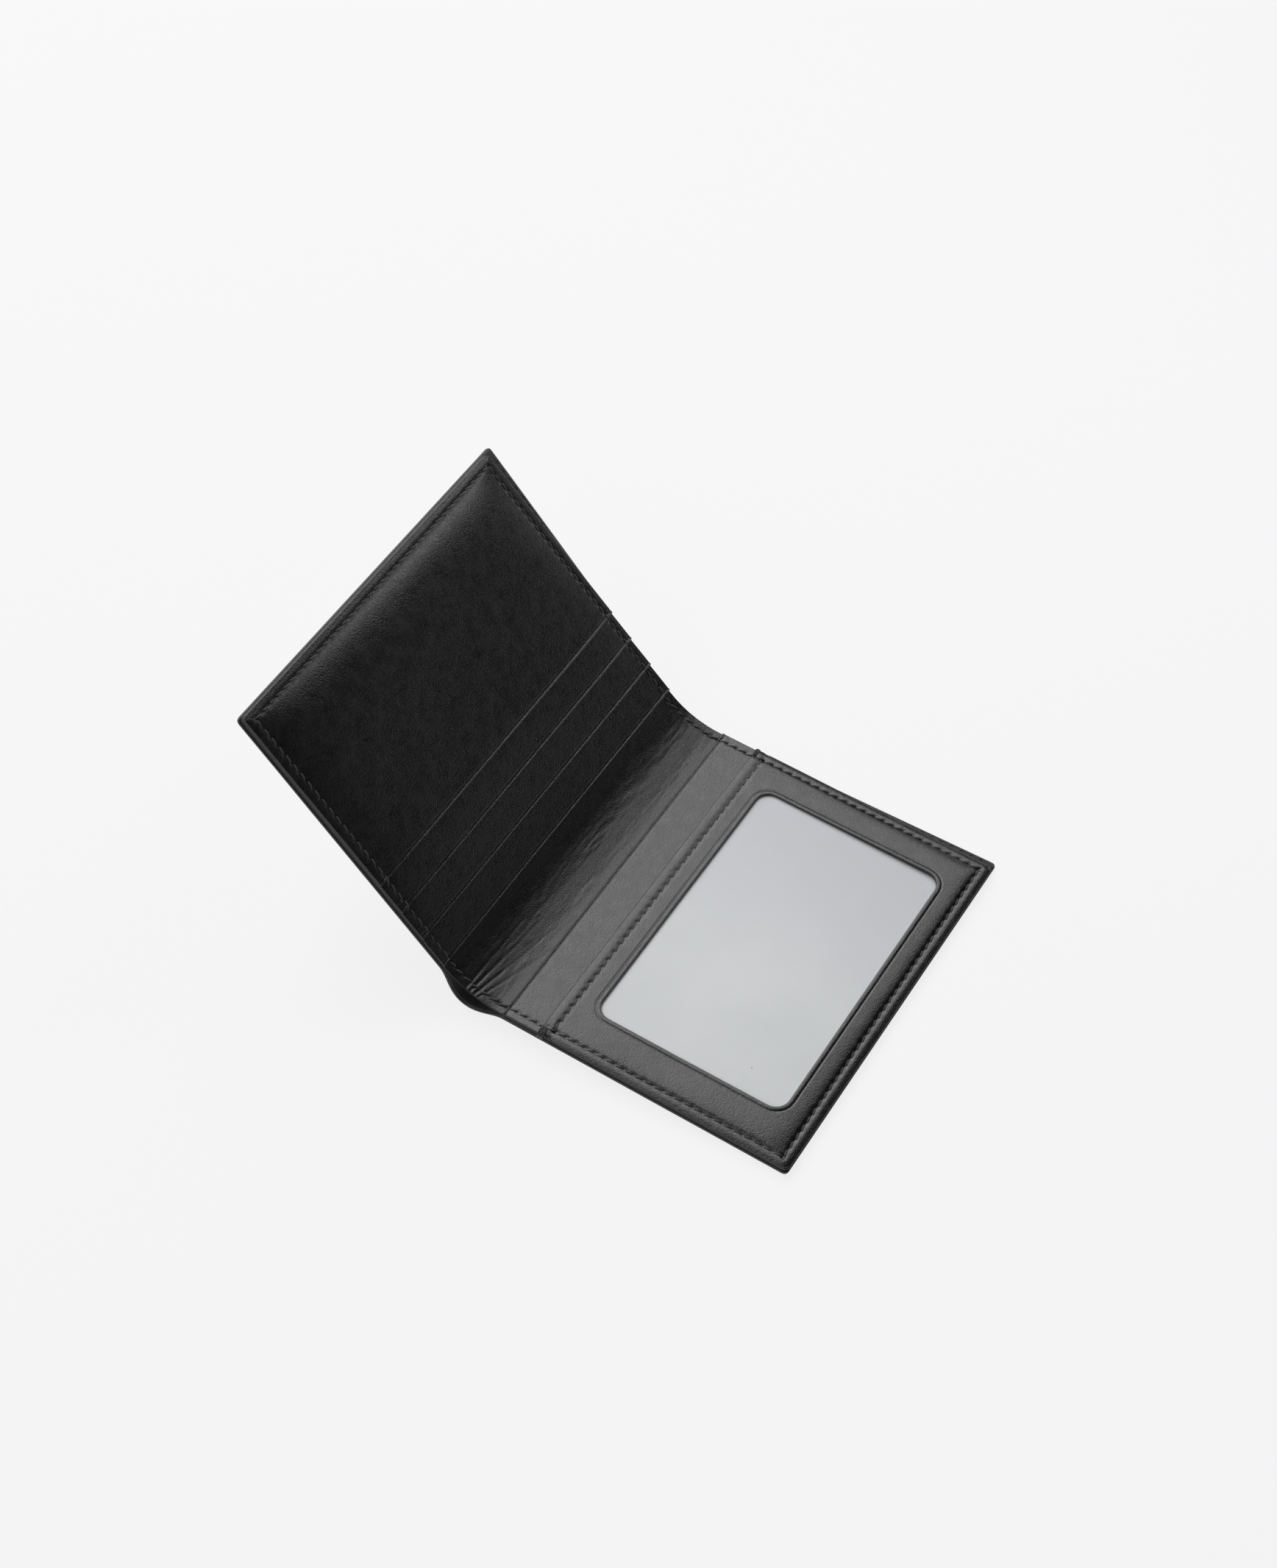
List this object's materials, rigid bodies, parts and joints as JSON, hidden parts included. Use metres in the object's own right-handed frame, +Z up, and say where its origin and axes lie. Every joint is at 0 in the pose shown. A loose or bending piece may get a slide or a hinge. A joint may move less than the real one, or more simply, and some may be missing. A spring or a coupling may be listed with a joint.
{
  "type": "bifold wallet",
  "caption": "Leather billfold standing part open, with portrait card pockets on one leaf and a clear-windowed card pocket on the other.",
  "frame": {"origin": "on the surface the wallet rests on, under the middle of its outline", "axes": "+Y along the fold towards the bill compartment's mouth, +X towards the outer edge of the lower leaf, +Z up"},
  "size_m": [0.1406, 0.1004, 0.0638],
  "materials": {
    "shell_leather": "smooth black grained leather, satin",
    "inner_leather": "smooth black leather, satin, softly wrinkled at the fold",
    "lining": "thin black woven lining",
    "board": "plain bonded board",
    "thread": "black waxed polyester thread",
    "clear_film": "clear glossy soft vinyl film",
    "insert_paper": "plain pale grey coated paper"
  },
  "bodies": {
    "right_leaf": {"bar_tacks": "thread", "card_pocket_lining_right": "lining", "card_pocket_right": "inner_leather", "inner_panel_right": "inner_leather", "inner_panel_spine": "inner_leather", "shell_leather_right": "shell_leather", "shell_leather_spine": "shell_leather", "shell_lining_right": "lining", "shell_lining_spine": "lining", "shell_stiffener_right": "board", "thread_bill_edge_right": "thread", "thread_far_right": "thread", "thread_near_right": "thread", "thread_outer_right": "thread", "thread_panel_mouth": "thread", "window_film": "clear_film", "window_panel": "inner_leather"},
    "left_leaf": {"card_pocket_left_1": "inner_leather", "card_pocket_left_2": "inner_leather", "card_pocket_left_3": "inner_leather", "card_pocket_left_4": "inner_leather", "card_pocket_lining_left_1": "lining", "card_pocket_lining_left_2": "lining", "card_pocket_lining_left_3": "lining", "card_pocket_lining_left_4": "lining", "inner_panel_left": "inner_leather", "shell_leather_left": "shell_leather", "shell_lining_left": "lining", "shell_stiffener_left": "board", "thread_bill_edge_left": "thread", "thread_far_left": "thread", "thread_near_left": "thread", "thread_outer_left": "thread"},
    "insert": {"id_insert": "insert_paper"}
  },
  "joints": [
    {"name": "leaf_fold", "type": "hinge", "parent": "right_leaf", "child": "left_leaf", "pos_m": [-0.01061, 0, 0.0066], "axis": [0, 1, 0], "range_deg": [-43, 135]},
    {"name": "insert_slide", "type": "slide", "parent": "right_leaf", "child": "insert", "axis": [-0.9993, 0, 0.037], "range_m": [0, 0.018]}
  ]
}
